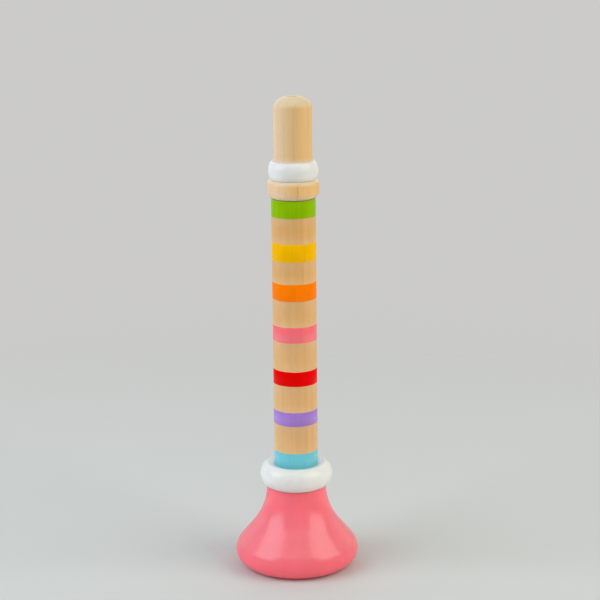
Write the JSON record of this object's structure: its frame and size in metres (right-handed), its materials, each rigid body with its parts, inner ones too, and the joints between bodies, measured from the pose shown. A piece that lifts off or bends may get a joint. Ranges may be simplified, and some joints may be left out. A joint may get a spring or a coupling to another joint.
{
  "type": "toy trumpet",
  "caption": "Slim turned-wood toy trumpet with a pink flared bell, white and natural rings, colour-banded tube and domed mouthpiece; blown to sound one reed note.",
  "frame": {"origin": "centre of the bell's flat foot, on the surface that the trumpet stands on", "axes": "+Z along the trumpet's axis from the bell to the mouthpiece, -Y towards the side that the reed's flat face looks to"},
  "size_m": [0.0454, 0.0454, 0.1746],
  "materials": {
    "beech": "fine-grained beech, sanded, clear satin lacquer",
    "white_paint": "wood under opaque warm white satin paint",
    "pink_paint": "wood under opaque salmon pink satin paint",
    "reed_plastic": "moulded ivory plastic",
    "reed_brass": "thin rolled brass strip"
  },
  "bodies": {
    "trumpet": {"bell": "pink_paint", "bell_ring": "white_paint", "tube": "beech", "collar_ring": "beech", "upper_ring": "white_paint", "mouthpiece": "beech", "reed_holder": "reed_plastic", "shallot": "reed_plastic", "clamp_ring": "reed_plastic"},
    "reed": {"reed_tongue": "reed_brass"}
  },
  "joints": [
    {"name": "reed_beat", "type": "hinge", "parent": "trumpet", "child": "reed", "pos_m": [0, -0.00105, 0.1337], "axis": [-1, 0, 0], "range_deg": [-2, 3], "stiffness_Nm_per_rad": 0.002}
  ]
}
